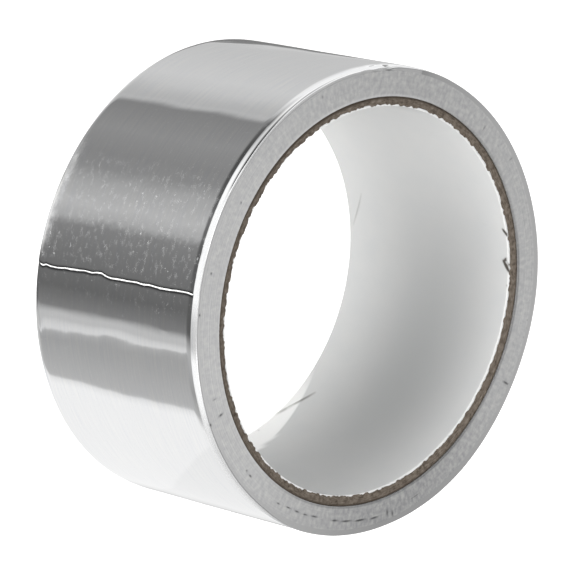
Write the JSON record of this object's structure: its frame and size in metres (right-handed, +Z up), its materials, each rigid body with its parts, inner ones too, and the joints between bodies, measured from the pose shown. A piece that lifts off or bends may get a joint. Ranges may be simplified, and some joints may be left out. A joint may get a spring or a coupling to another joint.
{
  "type": "roll of aluminium foil tape",
  "caption": "Roll of shiny aluminium foil tape wound on a brown card core with a white paper lining, standing on one end.",
  "frame": {"origin": "centre of the lower end, on the surface that the roll stands on", "axes": "+Z up along the axis of the core; the last turn of tape ends near -Y, and turns climb outwards counter-clockwise seen from above"},
  "size_m": [0.0918, 0.0918, 0.045],
  "materials": {
    "foil": "bright rolled foil, slightly scuffed",
    "card": "matt, cut edge of wound grey-brown card",
    "lining_paper": "smooth matt white paper"
  },
  "bodies": {
    "root": {"foil_tape": "foil", "cardboard_core": "card", "paper_lining": "lining_paper"}
  },
  "joints": []
}
